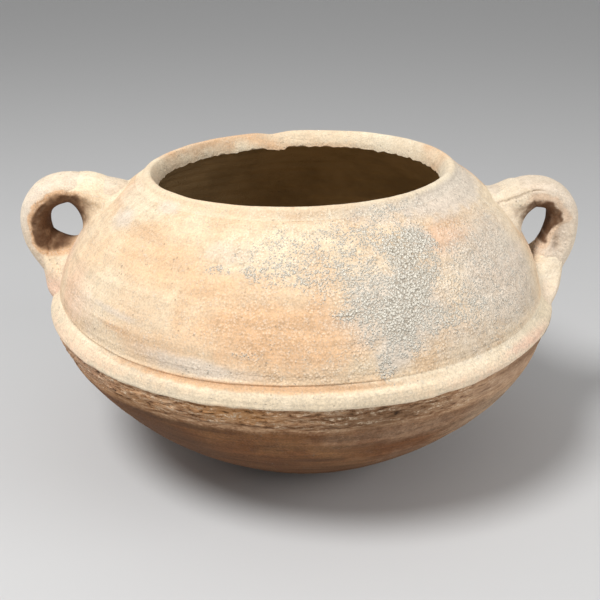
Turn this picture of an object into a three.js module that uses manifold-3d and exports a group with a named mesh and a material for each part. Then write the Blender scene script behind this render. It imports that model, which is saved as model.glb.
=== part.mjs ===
// A wide clay bowl with an inward-sloping shoulder, a ridge round its widest line and two loop handles.
// Millimetres, +Z up. The base stands on z = 0, the axis of the pot is the Z axis,
// and the two handles lie along +X and -X.
import * as THREE from 'three';
import { mergeVertices } from 'three/addons/utils/BufferGeometryUtils.js';
import Module from 'manifold-3d';

const wasm = await Module();
wasm.setup();

// Body
const seamHeight = 93;          // base to the joint between the bowl and the shoulder
const seamRadius = 144.8;       // outer radius of both walls at that joint
const seamLean = 92;            // direction of both walls there, in degrees from level and outward
const wallThickness = 8.5;
const floorThickness = 11;
const baseRadius = 44;          // flat disc that the bowl stands on
const baseSlope = 14;           // degrees that the bowl rises at the edge of that disc
const basePull = 52;            // how far the curve holds that slope
const bowlTopPull = 29;         // how far it holds the upright end of the bowl's wall
const shoulderPull = 47;        // how far it holds the upright start of the shoulder
const shoulderEndPull = 14;     // and the shoulder's sloping end
const shoulderEndSlope = 142;   // direction of the shoulder under the lip, in degrees
const shoulderRise = 79.5;      // joint to the shoulder's upper end

// Joints between the pieces
const seamGap = 0.3;            // room for slip between any two pieces
const seamLap = 6;              // height of the tongue that the bowl puts up behind the shoulder
const rimLap = 5;               // length of the lip's skirt over the shoulder's thinned edge

// Lip
const mouthRadius = 84.5;       // clear opening
const lipReach = 7;             // mouth edge to the outer face of the shoulder's upper end
const lipRise = 3.5;            // that upper end to the top of the lip
const lipCrestInset = 2.4;      // mouth edge to the highest line of the lip
const lipEdgeDrop = 1.6;        // fall of the lip's top from its crest to the mouth edge
const lipSwell = 0.4;           // bulge of the lip's outer slope
const lipFaceHeight = 9.5;      // top of the lip to the foot of its upright inner face

// Ridge round the widest line
const crestStand = 4.7;         // how far its crest stands out past the walls
const bandBelow = 11.5;         // reach of the ridge below the joint
const bandAbove = 9.5;          // and above it
const bandEdge = 0.8;           // thickness left at its upper and lower edges
const ridgeSwell = 0.6;         // bulge of its two slopes

// Roll of clay that is pressed over the joint on the inside
const coilBelow = 12;
const coilAbove = 14;
const coilThickness = 5;
const coilEdge = 1;             // thickness left at its upper and lower edges

// Handles
const handleReach = 21.7;       // walls' widest line to the outermost point of a handle
const handleRise = 77;          // joint to the top of a handle
const strapThickness = 18.8;
const strapWidth = 27;
const strapSquareness = 2.3;    // 2 is a plain oval section, more is squarer
const loopBend = 20;            // radius of the strap's bend, at its middle
const upperRootAlong = 71.5;    // joint to the strap's upper root, measured up the shoulder
const waistAlong = 26;          // joint to the strap's narrow waist
const waistStand = 11.4;        // how far the strap's middle stands off the wall there
const heelAlong = 7;            // joint to the lowest free stretch of the strap
const heelStand = 1.5;          // how far the strap's middle stands off the wall there
const rootDepth = 15;           // how far the strap's line is carried into the body before it is cut

// Clay that is pressed round each handle root
const lutingSpread = 6;         // how far it stands out past the strap's sides at the body
const lutingEdge = 0.9;         // thickness where it runs out on the strap
const upperLutingLength = 26;   // how far it climbs the strap's underside from the body
const upperCrotchRadius = 10;   // round of the finger hole under the upper root
const lowerLutingLength = 32;
const lowerCrotchRadius = 14;   // round of the finger hole above the lower root

// Fineness of the facets
const turnSteps = 52;
const wallSteps = 10;
const roundSteps = 9;
const strapSides = 16;
const strapSteps = 34;
const searchSteps = 400;        // trials along a line when a crossing is looked for
const weldDistance = 1e-4;

const clay = {
  bowl: { color: 0x8a5a3c, roughness: 0.85 },
  shoulder: { color: 0xc79a6b, roughness: 0.88 },
  band: { color: 0xd9bd92, roughness: 0.9 },
  lip: { color: 0xd8b78c, roughness: 0.88 },
  coil: { color: 0x5b3d29, roughness: 0.9 },
  handle: { color: 0xd4b088, roughness: 0.9 },
  luting: { color: 0xcfa67a, roughness: 0.9 },
};

function degreesFromLevel(angle, length) {
  const turn = THREE.MathUtils.degToRad(angle);
  return new THREE.Vector2(Math.cos(turn) * length, Math.sin(turn) * length);
}

// A wall curve leaves its start and reaches its end in given directions.
function wallCurve(start, startAngle, startPull, end, endAngle, endPull) {
  const leaving = start.clone().add(degreesFromLevel(startAngle, startPull));
  const arriving = end.clone().sub(degreesFromLevel(endAngle, endPull));
  return new THREE.CubicBezierCurve(start, leaving, arriving, end);
}

const seam = new THREE.Vector2(seamRadius, seamHeight);
const bowlLine = wallCurve(
  new THREE.Vector2(baseRadius, 0), baseSlope, basePull, seam, seamLean, bowlTopPull);
const shoulderLine = wallCurve(
  seam, seamLean, shoulderPull,
  new THREE.Vector2(mouthRadius + lipReach, seamHeight + shoulderRise),
  shoulderEndSlope, shoulderEndPull);
const bowlLength = bowlLine.getLength();
const shoulderLength = shoulderLine.getLength();

// Evenly spaced stations along a wall's outer line, each with the direction into the wall.
function wallStations(line) {
  const stations = [];
  for (let i = 0; i <= wallSteps; i += 1) {
    const tangent = line.getTangentAt(i / wallSteps);
    stations.push({
      along: line.getLength() * (i / wallSteps),
      point: line.getPointAt(i / wallSteps),
      inward: new THREE.Vector2(-tangent.y, tangent.x),
    });
  }
  return stations;
}

const bowlStations = wallStations(bowlLine);
const shoulderStations = wallStations(shoulderLine);

// The point at a distance along a wall, at a depth below its outer face, on the straight
// facet between two stations, so that pieces laid on a wall follow its facets.
function wallPoint(wall, along, depth) {
  const spacing = wall[1].along;
  const first = THREE.MathUtils.clamp(Math.floor(along / spacing), 0, wallSteps - 1);
  const [low, high] = [wall[first], wall[first + 1]].map(
    (station) => station.point.clone().addScaledVector(station.inward, depth));
  return low.lerp(high, along / spacing - first);
}

// Points on a wall from one distance to another, with every station on the way that isn't
// closer to either end than the slip gap.
function wallRun(wall, from, to, depthAt) {
  const [low, high] = [Math.min(from, to), Math.max(from, to)];
  const between = wall.map((station) => station.along)
    .filter((along) => along > low + seamGap && along < high - seamGap);
  const stops = [low, ...between, high];
  if (from > to) stops.reverse();
  return stops.map((along) => wallPoint(wall, along, depthAt(along)));
}

// Distances from the joint: below it they run down the bowl, above it they run up the shoulder.
function seamPoint(along, depth) {
  if (along < 0) return wallPoint(bowlStations, bowlLength + along, depth);
  return wallPoint(shoulderStations, along, depth);
}

// Points over the joint, from a distance below it to a distance above it.
function seamRun(below, above, depth) {
  return [
    ...wallRun(bowlStations, bowlLength - below, bowlLength, () => depth).slice(0, -1),
    ...wallRun(shoulderStations, 0, above, () => depth),
  ];
}

// Turns a profile round the Z axis. The profile runs anticlockwise, with the axis on its left.
function turned(profile) {
  const geometry = new THREE.LatheGeometry(profile, turnSteps);
  geometry.rotateX(Math.PI / 2);
  return geometry;
}

function ring(profile) {
  return turned([...profile, profile[0].clone()]);
}

// A solid for joining and cutting, from any closed geometry.
function solidOf(geometry) {
  const bare = new THREE.BufferGeometry();
  bare.setAttribute('position', geometry.getAttribute('position').clone());
  bare.setIndex(geometry.getIndex());
  const merged = mergeVertices(bare, weldDistance);
  const corners = merged.getIndex().array;
  const faces = [];
  for (let i = 0; i < corners.length; i += 3) {
    const [a, b, c] = [corners[i], corners[i + 1], corners[i + 2]];
    if (a !== b && b !== c && c !== a) faces.push(a, b, c);
  }
  return new wasm.Manifold(new wasm.Mesh({
    numProp: 3,
    vertProperties: new Float32Array(merged.getAttribute('position').array),
    triVerts: new Uint32Array(faces),
  }));
}

function geometryOf(solid) {
  const mesh = solid.getMesh();
  const geometry = new THREE.BufferGeometry();
  geometry.setAttribute('position', new THREE.BufferAttribute(mesh.vertProperties, 3));
  geometry.setIndex(new THREE.BufferAttribute(mesh.triVerts, 1));
  geometry.computeVertexNormals();
  return geometry;
}

// Lower bowl: base, wall and the tongue that stands up behind the shoulder.
function lowerBowl() {
  const half = wallThickness / 2;
  const innerDepth = (along) => {
    const nearBase = 1 - along / bowlLength;
    return wallThickness + (floorThickness - wallThickness) * nearBase * nearBase;
  };
  const outer = wallRun(bowlStations, 0, bowlLength, () => 0);
  const inner = wallRun(bowlStations, bowlLength, 0, innerDepth);
  return turned([
    new THREE.Vector2(0, 0),
    ...outer,
    wallPoint(shoulderStations, 0, half),
    wallPoint(shoulderStations, seamLap, half),
    wallPoint(shoulderStations, seamLap, wallThickness),
    ...inner,
    new THREE.Vector2(0, floorThickness),
  ]);
}

// Shoulder: a turned wall, rebated inside at its foot and outside at its upper edge.
function shoulderWall() {
  const half = wallThickness / 2;
  const skirtDepth = half - seamGap;
  const footAlong = seamLap + seamGap;
  const lapAlong = shoulderLength - rimLap;
  return ring([
    ...wallRun(shoulderStations, seamGap, lapAlong, () => 0),
    wallPoint(shoulderStations, lapAlong, half),
    wallPoint(shoulderStations, shoulderLength, half),
    ...wallRun(shoulderStations, shoulderLength, footAlong, () => wallThickness),
    wallPoint(shoulderStations, footAlong, skirtDepth),
    wallPoint(shoulderStations, seamGap, skirtDepth),
  ]);
}

function midway(a, b) {
  return a.clone().lerp(b, 0.5);
}

// Outer face of the lip, from its skirt on the shoulder over the crest to the mouth edge.
function lipCurve() {
  const shoulderEnd = wallPoint(shoulderStations, shoulderLength, 0);
  const crest = new THREE.Vector2(mouthRadius + lipCrestInset, shoulderEnd.y + lipRise);
  return new THREE.SplineCurve([
    wallPoint(shoulderStations, shoulderLength - rimLap + seamGap, 0),
    shoulderEnd,
    midway(shoulderEnd, crest).add(new THREE.Vector2(0, lipSwell)),
    crest,
    new THREE.Vector2(mouthRadius, crest.y - lipEdgeDrop),
  ]);
}

// Lip: a coil that laps over the shoulder's thinned edge and ends in an upright face.
function rimLip() {
  const skirtDepth = wallThickness / 2 - seamGap;
  const faceFoot = seamHeight + shoulderRise + lipRise - lipFaceHeight;
  return ring([
    ...lipCurve().getPoints(roundSteps),
    new THREE.Vector2(mouthRadius, faceFoot),
    wallPoint(shoulderStations, shoulderLength + seamGap, wallThickness),
    wallPoint(shoulderStations, shoulderLength + seamGap, skirtDepth),
    wallPoint(shoulderStations, shoulderLength - rimLap + seamGap, skirtDepth),
  ]);
}

// Front of the ridge, from its lower edge over the crest to its upper edge. Growth widens it.
function ridgeFront(growth) {
  const crest = new THREE.Vector2(seamRadius + crestStand, seamHeight);
  const lower = seamPoint(-bandBelow, -seamGap - bandEdge);
  const upper = seamPoint(bandAbove, -seamGap - bandEdge);
  const swell = new THREE.Vector2(ridgeSwell, 0);
  const front = new THREE.SplineCurve([
    lower, midway(lower, crest).add(swell), crest, midway(upper, crest).add(swell), upper,
  ]);
  return front.getPoints(roundSteps).map((point) => point.add(new THREE.Vector2(growth, 0)));
}

// Ridge: a coil that is laid on both walls and covers the joint between them.
function carinationBand() {
  return ring([
    ...ridgeFront(0),
    ...seamRun(bandBelow, bandAbove, -seamGap).reverse(),
  ]);
}

// Roll of clay over the inside of the joint.
function innerSeamCoil() {
  const back = wallThickness + seamGap;
  return ring([
    ...seamRun(coilBelow, coilAbove, back),
    seamPoint(coilAbove, back + coilEdge),
    seamPoint(coilAbove / 2, back + coilThickness),
    seamPoint(-coilBelow / 2, back + coilThickness),
    seamPoint(-coilBelow, back + coilEdge),
  ]);
}

// Everything inside the outer faces of the turned pieces, with the slip gap added.
// Handles and their luting are cut back to it.
function bodyKeepOut() {
  const shoulder = turned([
    new THREE.Vector2(0, seamHeight - bandBelow),
    ...seamRun(bandBelow, shoulderLength - rimLap, -seamGap),
    new THREE.Vector2(0, seamHeight + shoulderRise),
  ]);
  const band = turned([
    new THREE.Vector2(0, seamHeight - bandBelow),
    ...ridgeFront(seamGap),
    new THREE.Vector2(0, seamHeight + bandAbove),
  ]);
  return solidOf(shoulder).add(solidOf(band));
}

// Middle line of a strap handle, out of the shoulder, round the bend and down into the joint.
function strapLine() {
  const side = seamRadius + handleReach - strapThickness / 2;
  const top = seamHeight + handleRise - strapThickness / 2;
  const diagonal = loopBend * (1 - Math.SQRT1_2);
  const stops = [
    wallPoint(shoulderStations, upperRootAlong, rootDepth),
    wallPoint(shoulderStations, upperRootAlong, 0),
    new THREE.Vector2(side - loopBend, top),
    new THREE.Vector2(side - diagonal, top - diagonal),
    new THREE.Vector2(side, top - loopBend),
    wallPoint(shoulderStations, waistAlong, -waistStand),
    wallPoint(shoulderStations, heelAlong, -heelStand),
    wallPoint(shoulderStations, 0, rootDepth),
  ];
  return new THREE.CatmullRomCurve3(stops.map((stop) => new THREE.Vector3(stop.x, 0, stop.y)));
}

// The shares of the strap's line, from one share to another, at which it has a section. The
// strap and its lutings have theirs in the same places, so their facets lie on each other.
function strapShares(from, to) {
  const between = [];
  for (let i = 0; i <= strapSteps; i += 1) {
    if (i / strapSteps > from && i / strapSteps < to) between.push(i / strapSteps);
  }
  return [from, ...between, to];
}

// Rings of an oval section along part of the strap's line, joined into a closed skin.
// The extra sizes say how far the section stands out past the strap's own at each share of the
// line: to both sides, on the face towards the body and on the outer face.
function strapSkin(from, to, extraAt) {
  const line = strapLine();
  const positions = [];
  const indices = [];
  const shares = strapShares(from, to);
  for (const share of shares) {
    const middle = line.getPointAt(share);
    const tangent = line.getTangentAt(share);
    const outward = new THREE.Vector3(-tangent.z, 0, tangent.x);
    const extra = extraAt(share);
    for (let k = 0; k < strapSides; k += 1) {
      const turn = (k / strapSides) * 2 * Math.PI;
      const side = roundedShare(Math.sin(turn));
      const face = roundedShare(Math.cos(turn));
      const across = side * (strapWidth / 2 + extra.sides);
      const through = face * (strapThickness / 2 + (face < 0 ? extra.inner : extra.outer));
      const corner = middle.clone().addScaledVector(outward, through);
      positions.push(corner.x, corner.y + across, corner.z);
    }
  }
  for (let i = 0; i < shares.length - 1; i += 1) {
    for (let k = 0; k < strapSides; k += 1) {
      const a = i * strapSides + k;
      const b = i * strapSides + ((k + 1) % strapSides);
      indices.push(a, a + strapSides, b, b, a + strapSides, b + strapSides);
    }
  }
  const last = (shares.length - 1) * strapSides;
  for (let k = 1; k < strapSides - 1; k += 1) {
    indices.push(0, k, k + 1, last, last + k + 1, last + k);
  }
  const geometry = new THREE.BufferGeometry();
  geometry.setAttribute('position', new THREE.Float32BufferAttribute(positions, 3));
  geometry.setIndex(indices);
  return geometry;
}

function evenly(extra) {
  return { sides: extra, inner: extra, outer: extra };
}

function roundedShare(value) {
  return Math.sign(value) * Math.abs(value) ** (2 / strapSquareness);
}

const shoulderPoints = shoulderLine.getPoints(searchSteps);

// Outer radius of the shoulder at a height.
function shoulderRadiusAt(height) {
  const above = shoulderPoints.findIndex((point) => point.y > height);
  return shoulderPoints[above < 0 ? searchSteps : above].x;
}

// Shares of the strap's line at which it leaves the body and comes back to it.
function rootShares() {
  const outside = strapLine().getSpacedPoints(searchSteps)
    .map((point, i) => (point.x > shoulderRadiusAt(point.z) ? i / searchSteps : -1))
    .filter((share) => share >= 0);
  return [outside[0], outside[outside.length - 1]];
}

const body = bodyKeepOut();
const [leaving, returning] = rootShares();
const strapLength = strapLine().getLength();

function strap() {
  return solidOf(strapSkin(0, 1, () => evenly(0))).subtract(body);
}

function strapKeepOut() {
  return solidOf(strapSkin(0, 1, () => evenly(seamGap)));
}

// Thickness of a quarter-round fillet at a distance from its upright side.
function filletThickness(distance, radius) {
  const left = THREE.MathUtils.clamp(1 - distance / radius, 0, 1);
  return radius * (1 - Math.sqrt(1 - left * left));
}

// Luting round one root. It is widest at the body, rounds off the angle under the strap and
// runs out along it. The strap's outer face stays bare.
function luting(root, buriedEnd, length, crotchRadius) {
  const tip = root + Math.sign(root - buriedEnd) * (length / strapLength);
  const extraAt = (share) => {
    const climb = length - Math.abs(tip - share) * strapLength;
    const fading = THREE.MathUtils.clamp(1 - climb / length, 0, 1);
    return {
      sides: lutingEdge + lutingSpread * fading * fading,
      inner: lutingEdge + filletThickness(climb - length + crotchRadius, crotchRadius),
      outer: 0,
    };
  };
  const skirt = strapSkin(Math.min(tip, buriedEnd), Math.max(tip, buriedEnd), extraAt);
  return solidOf(skirt).subtract(strapKeepOut()).subtract(body);
}

function piece(name, geometry, finish) {
  const material = new THREE.MeshStandardMaterial({ ...finish, metalness: 0 });
  const mesh = new THREE.Mesh(geometry, material);
  mesh.name = name;
  return mesh;
}

// One handle with its two lutings, on the +X side of its group.
function handle(side) {
  const upper = luting(leaving, 0, upperLutingLength, upperCrotchRadius);
  const lower = luting(returning, 1, lowerLutingLength, lowerCrotchRadius);
  const group = new THREE.Group();
  group.add(
    piece(`handle_${side}`, geometryOf(strap()), clay.handle),
    piece(`handle_${side}_upper_luting`, geometryOf(upper), clay.luting),
    piece(`handle_${side}_lower_luting`, geometryOf(lower), clay.luting),
  );
  return group;
}

const bowl = new THREE.Group();
bowl.add(
  piece('lower_bowl', lowerBowl(), clay.bowl),
  piece('shoulder_wall', shoulderWall(), clay.shoulder),
  piece('inner_seam_coil', innerSeamCoil(), clay.coil),
  piece('carination_band', carinationBand(), clay.band),
  piece('rim_lip', rimLip(), clay.lip),
);
for (const [side, turn] of [['right', 0], ['left', Math.PI]]) {
  const placed = handle(side);
  placed.rotation.z = turn;
  bowl.add(placed);
}

export default bowl;
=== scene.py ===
# Looks of a two-handled clay bowl: worn, lime-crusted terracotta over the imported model.
# Sizes are in millimetres until a mesh is made, which is in metres like the frame.
import math

import bmesh
import bpy
import numpy as np
from mathutils import Matrix, Vector


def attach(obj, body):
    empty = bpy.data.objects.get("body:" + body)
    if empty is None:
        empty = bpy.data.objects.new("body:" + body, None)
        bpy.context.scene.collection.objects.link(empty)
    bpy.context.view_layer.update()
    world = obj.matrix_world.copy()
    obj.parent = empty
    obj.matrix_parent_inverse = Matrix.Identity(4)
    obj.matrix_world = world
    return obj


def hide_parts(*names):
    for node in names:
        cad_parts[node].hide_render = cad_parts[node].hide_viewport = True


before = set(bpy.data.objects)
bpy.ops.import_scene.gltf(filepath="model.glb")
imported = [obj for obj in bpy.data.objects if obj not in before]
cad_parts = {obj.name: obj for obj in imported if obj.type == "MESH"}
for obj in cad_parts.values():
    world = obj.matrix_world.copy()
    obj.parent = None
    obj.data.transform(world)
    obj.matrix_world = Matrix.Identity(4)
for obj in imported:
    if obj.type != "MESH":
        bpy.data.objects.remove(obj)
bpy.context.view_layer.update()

MM = 0.001

# Body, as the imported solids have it
seam_height = 93.0        # base to the widest line, where bowl and shoulder are joined
seam_radius = 144.8
base_radius = 44.0
wall_thickness = 8.5
floor_thickness = 11.0
shoulder_end = (91.5, 172.5)   # radius and height of the shoulder's upper end

# Grids
columns = 640             # round the pot
fine_row = 0.4            # row spacing on the ridge and the lip
skin_row = 1.15           # and on the open walls
inner_row = 3.2           # and inside
strap_columns = 116       # round a handle
strap_row = 0.85          # and along it

# Where one piece ends and the next begins, along the wall from the widest line, downwards negative
ridge_foot = -13.5
ridge_head = 14.2
lip_foot = 95.5

pit_seed = 41


def bezier(start, leaving, arriving, end, count):
    """Points on a cubic curve, or on one for each row of the corners given: it leaves start
    towards leaving and comes into end from arriving."""
    t = np.linspace(0, 1, count).reshape(-1, *[1] * start.ndim)
    return ((1 - t) ** 3 * start + 3 * t * (1 - t) ** 2 * leaving
            + 3 * t ** 2 * (1 - t) * arriving + t ** 3 * end)


def from_level(angle, length):
    """A step of that length in a direction given in degrees from level and outward."""
    return length * np.array([math.cos(math.radians(angle)), math.sin(math.radians(angle))])


def wall_line():
    """The outer line of bowl and shoulder as radius, height and distance from the widest line."""
    foot, seam, top = (np.array(p, float) for p in
                       ((base_radius, 0), (seam_radius, seam_height), shoulder_end))
    bowl = bezier(foot, foot + from_level(14, 52), seam - from_level(92, 29), seam, 900)
    shoulder = bezier(seam, seam + from_level(92, 47), top - from_level(142, 14), top, 700)
    line = np.concatenate([bowl, shoulder[1:]])
    steps = np.hypot(*np.diff(line, axis=0).T)
    along = np.concatenate([[0], np.cumsum(steps)])
    return line[:, 0], line[:, 1], along - along[len(bowl) - 1]


wall_radius, wall_height, wall_along = wall_line()
slope_r = np.gradient(wall_radius, wall_along)
slope_z = np.gradient(wall_height, wall_along)
bowl_start = wall_along[0]
shoulder_length = wall_along[-1]


def wall_slope(along):
    """How much radius and height grow with each millimetre along the wall."""
    return np.interp(along, wall_along, slope_r), np.interp(along, wall_along, slope_z)


def on_wall(along, depth=0.0):
    """Radius and height at a distance along the wall and a depth under its outer face."""
    lean_r, lean_z = wall_slope(along)
    radius = np.interp(along, wall_along, wall_radius) - depth * lean_z
    height = np.interp(along, wall_along, wall_height) + depth * lean_r
    return radius, height


def softened(places, values, x, reach):
    """A line through given places, with its corners rounded by a running mean of that reach."""
    fine = np.arange(places[0] - 4 * reach, places[-1] + 4 * reach, reach / 12)
    level = np.interp(fine, places, values)
    kernel = np.hanning(27)
    level = np.convolve(np.pad(level, 13, mode="edge"), kernel / kernel.sum(), mode="valid")
    return np.interp(x, fine, level)


def ramp(x, low, high):
    """0 below low, 1 above high and a smooth rise between."""
    t = np.clip((x - low) / (high - low), 0, 1)
    return t * t * (3 - 2 * t)


def lattice_noise(points, size, number):
    """Smooth values from -1 to 1 that vary over the given size. Each corner of a cubic lattice
    gets a value by mixing its three counts, and a point blends the eight corners round it."""
    cell = np.asarray(points) / size
    low = np.floor(cell)
    part = cell - low
    part = part * part * (3 - 2 * part)
    count = low.astype(np.int32).view(np.uint32)
    keys = np.array([73856093, 19349663, 83492791], np.uint32)
    mixed = [[(count[..., axis] + np.uint32(step)) * keys[axis] for step in (0, 1)]
             for axis in range(3)]
    shares = [[1 - part[..., axis], part[..., axis]] for axis in range(3)]
    start = np.uint32(number * 374761393 % 4294967296)
    total = np.zeros(cell.shape[:-1])
    for i, j, k in np.ndindex(2, 2, 2):
        code = mixed[0][i] + mixed[1][j] + mixed[2][k] + start
        code = (code ^ (code >> np.uint32(15))) * np.uint32(2246822519)
        code = code ^ (code >> np.uint32(13))
        total += shares[0][i] * shares[1][j] * shares[2][k] * (code / 2147483648.0 - 1)
    return total


def layered_noise(points, size, number, layers=3):
    """Lattice noise with finer, weaker copies laid over it."""
    total = sum(lattice_noise(points, size / 2 ** k, number + k) / 2 ** k for k in range(layers))
    return total / 1.6


class Skin:
    """The places of a grid on the body: azimuth and angle away from the front, radius, height,
    height above the widest line, distance along the wall, and points in space for noise."""

    def __init__(self, radius, height, along):
        turn = np.linspace(0, 360, columns, endpoint=False)
        self.azimuth = np.broadcast_to(turn, (len(radius), columns))
        self.away = self.turned_from(0)
        self.radius = np.repeat(radius[:, None], columns, 1)
        self.height = np.repeat(height[:, None], columns, 1)
        self.along = np.repeat(np.asarray(along, float)[:, None], columns, 1)
        self.above = self.height - seam_height
        self.points = self.place(self.radius, self.height)
        self.ragged = {size: layered_noise(self.points, size, 40 + size) for size in (4, 10, 26)}

    def turned_from(self, azimuth):
        """Degrees from an azimuth, from -180 to 180 and positive to the right."""
        return (self.azimuth - azimuth + 180) % 360 - 180

    def place(self, radius, height):
        angle = np.radians(self.azimuth)
        return np.stack([radius * np.sin(angle), -radius * np.cos(angle), height], -1)


def patch(skin, azimuth, above, wide, tall, turn=0.0, soft=0.35, ragged=0.3):
    """A ragged spot on the wall: 1 inside an oval of half sizes wide and tall, turned by some
    degrees, fading over a soft share of its size."""
    across = np.radians(skin.turned_from(azimuth)) * skin.radius
    up = skin.above - above
    c, s = math.cos(math.radians(turn)), math.sin(math.radians(turn))
    reach = np.hypot((across * c + up * s) / wide, (up * c - across * s) / tall)
    size = min(skin.ragged, key=lambda each: abs(each - 0.8 * min(wide, tall)))
    reach += ragged * skin.ragged[size]
    return ramp(reach, 1 + soft, 1 - soft)


def spots(skin, ragged, soft, places):
    """The strongest of several patches at each point."""
    total = np.zeros(skin.radius.shape)
    for azimuth, above, wide, tall, strength, *turn in places:
        mask = patch(skin, azimuth, above, wide, tall, *turn, soft=soft, ragged=ragged)
        total = np.maximum(total, strength * mask)
    return total


# Marks on the clay: how ragged and how soft their edges are, and their places. A place is
# azimuth, height above the widest line, half width, half height, strength and, if any, turn.
mark_places = {
    "lime": (0.45, 0.6, [
        (22, 41, 22, 14, 1.0, 10), (28, 60, 17, 10, 1.0, 15), (27, 50, 18, 10, 1.0),
        (30, 34, 18, 9, 0.7), (23, 68, 22, 5, 0.7, -8), (28, 78, 22, 4, 0.45),
        (11, 41.5, 8, 2.2, 0.95, 4), (17, 18, 5, 8, 0.7, 15), (22, 24, 12, 7, 0.6),
        (-12, 58, 4, 2.4, 0.8), (-4, 60, 13, 4, 0.6), (1, 54, 6, 2, 0.7), (-2, 67, 10, 3, 0.5),
        (8, 62, 38, 14, 0.5), (15, 52, 16, 14, 0.7), (-22, 15, 15, 3.4, 0.22, -4),
        (48, 40, 60, 30, 0.36), (40, 34, 16, 8, 0.6), (10, 26, 40, 14, 0.16),
        (-20, 58, 9, 2.4, 0.45), (-10, 23, 8, 2, 0.45)]),
    "grey": (0.3, 0.6, [
        (23, 41, 30, 20, 0.85), (34, 66, 8, 6, 0.8), (-62, 67, 12, 4.5, 0.7), (-46, 77, 10, 3, 0.6),
        (-22, 15, 34, 4.5, 0.75, -3), (40, 24, 34, 13, 0.5), (62, 77, 60, 8, 0.95),
        (26, 79, 22, 5, 0.6), (56, 42, 50, 26, 0.75), (19, 22, 11, 10, 0.9, 30),
        (-55, 24, 26, 12, 0.35), (-18, 64, 14, 5, 0.45), (-45, 30.5, 26, 2, 0.6, -3),
        (-27, 13, 16, 3, 0.5)]),
    "orange": (0.3, 0.7, [
        (-4, 32, 52, 17, 0.9), (-38, 58, 44, 15, 0.55), (-14, 49, 42, 9, 0.55),
        (-12, 8.5, 74, 1.9, 1.0), (-13, -6, 20, 5, 0.9), (-46, -12, 40, 7, 0.5),
        (-50, 7, 40, 2, 0.3), (-18, 80, 60, 6, 0.45), (-40, 5, 70, 4, 0.35), (35, 3, 50, 5, 0.3),
        (-42, 23, 18, 2.2, 0.7, -3), (60, 6.5, 14, 2, 0.4), (-60, 50, 24, 12, 0.4),
        (-38, 37, 34, 10, 0.35), (43, 65, 22, 8, 0.7), (44, 70, 34, 8, 0.4),
        (-30, 22, 34, 8, 0.5)]),
    "pink": (0.3, 0.7, [
        (42, 63, 16, 6, 0.5), (58, 6, 24, 3, 0.9), (50, 2, 60, 6, 0.35), (-56, 4, 40, 5, 0.45),
        (52, -6, 40, 7, 0.6), (-62, 26, 24, 16, 0.5), (62, 43, 24, 6, 0.4), (-55, -7, 34, 8, 0.9),
        (88, 30, 26, 20, 0.4), (-88, 30, 26, 24, 0.7), (-75, 74, 20, 6, 0.5)]),
    "pale": (0.3, 0.7, [
        (-45, 41, 40, 8, 0.35), (-62, 74, 34, 5, 0.8), (-80, 56, 26, 14, 0.5),
        (78, 62, 22, 12, 0.7), (-48, 12, 40, 4, 0.3), (70, 10, 40, 5, 0.7), (84, 74, 20, 8, 0.5)]),
    # Dark places are stains, except those at -64, -62 and -60, which are painted shade that darkens
    # the bowl towards its base, and the one at 8.5, which is painted shade in the groove over the
    # ridge.
    "dark": (0.3, 0.6, [
        (-36, -42, 40, 24, 0.8), (2, -46, 22, 3, 0.7), (-14, -52, 30, 8, 0.5),
        (14, -34, 26, 5, 0.4), (-30, -19, 44, 3, 0.7), (-12, -12.8, 44, 1.0, 0.7),
        (15, -9, 30, 8, 0.9), (64, -1, 44, 5, 0.8), (-42, -52, 60, 16, 0.8),
        (20, 80, 62, 4.5, 0.27), (-4, 8.5, 96, 2, 0.33), (-35, 12, 50, 3, 0.2),
        (-5, -64, 90, 18, 0.65), (70, -62, 90, 18, 0.55), (-85, -60, 60, 20, 0.6),
        (-32, -46, 40, 8, 0.5), (20, -56, 70, 8, 0.5)]),
    "buff": (0.3, 0.7, [
        (56, -24, 46, 24, 0.8), (50, -8, 44, 10, 0.8), (10, -24, 22, 8, 0.4), (26, -24, 34, 9, 0.5),
        (50, -50, 70, 14, 0.4), (-35, 32, 18, 6, 0.4), (-38, 19, 50, 10, 0.38),
        (-42, 34, 40, 9, 0.22), (-26, 26, 26, 6, 0.2)]),
    "rough": (0.3, 0.8, [
        (36, 46, 84, 46, 1.0), (0, 64, 44, 14, 0.75), (6, 15, 50, 6, 0.7), (-22, 14, 50, 4, 0.6),
        (-5, 38, 60, 30, 0.55), (-60, 60, 60, 30, 0.4), (-55, 24, 60, 20, 0.5)]),
}

# The side that the photograph doesn't show gets clouds of the same stains: the size of the
# clouds, the noise value where they begin, their strength, and 1 on the shoulder or -1 on the bowl
hidden_clouds = {
    "lime": (42, 0.22, 0.95, 1), "grey": (60, 0.05, 0.6, 1), "orange": (70, -0.05, 0.8, 1),
    "pink": (50, 0.2, 0.6, 1), "pale": (60, 0.1, 0.6, 1), "dark": (50, 0.0, 0.7, -1),
    "buff": (60, 0.1, 0.7, -1), "rough": (60, -0.3, 1.0, 1)}

# Single pits: azimuth, height above the widest line, radius and depth
pits = [
    (-26.5, 37.5, 1.6, 0.9), (5, 23, 1.5, 0.8), (-33, 44, 0.9, 0.5), (17, 17, 1.6, 0.8),
    (16, 42, 1.4, 0.9), (19, 45, 1.3, 0.8), (-49, 30, 1.2, 0.6), (-2, 31, 0.9, 0.5),
]


def hidden_cloud(skin, key):
    """A cloud of one stain on the hidden side, drawn out a little round the pot."""
    size, start, strength, part = hidden_clouds[key]
    number = 100 + 5 * list(hidden_clouds).index(key)
    value = layered_noise(skin.points * np.array([1, 1, 1.7]), size, number, 4)
    zone = ramp(part * skin.above, 9, 15) * ramp(np.abs(skin.away), 84, 102)
    return strength * zone * ramp(value, start, start + 0.4)


def stain(skin, key):
    """One kind of stain all round: placed patches in front, clouds at the back. Some of the dark
    patches in front are painted shade.
    """
    return np.maximum(spots(skin, *mark_places[key]), hidden_cloud(skin, key))


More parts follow.
